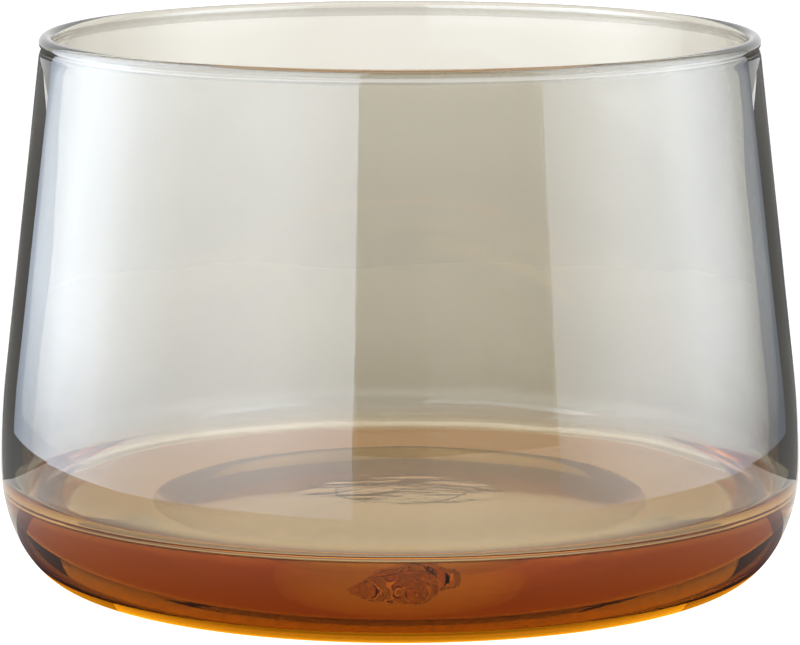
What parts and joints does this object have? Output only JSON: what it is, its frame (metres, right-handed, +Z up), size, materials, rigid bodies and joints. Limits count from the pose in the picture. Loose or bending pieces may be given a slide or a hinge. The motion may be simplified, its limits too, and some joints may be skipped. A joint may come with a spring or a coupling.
{
  "type": "art glass bowl",
  "caption": "Round hand-blown glass bowl: smoke-tinted wall leaning in to a fire-polished lip, over a thick cased amber base with a rounded heel.",
  "frame": {"origin": "centre of the flat foot, on the surface that the bowl stands on", "axes": "+Z up along the bowl's axis of revolution; +X and +Y lie in the foot plane"},
  "size_m": [0.2, 0.2, 0.1355],
  "materials": {
    "clear_glass": "fire-polished clear glass",
    "smoke_glass": "fire-polished transparent smoke glass",
    "amber_glass": "solid transparent amber glass, sealed in the base",
    "pontil_glass": "rough scar in the middle of the underside, lightly ground"
  },
  "bodies": {
    "root": {"lip_bead": "clear_glass", "clear_casing": "clear_glass", "smoke_bubble": "smoke_glass", "clear_gather": "clear_glass", "amber_gather": "amber_glass", "pontil_mark": "pontil_glass"}
  },
  "joints": []
}
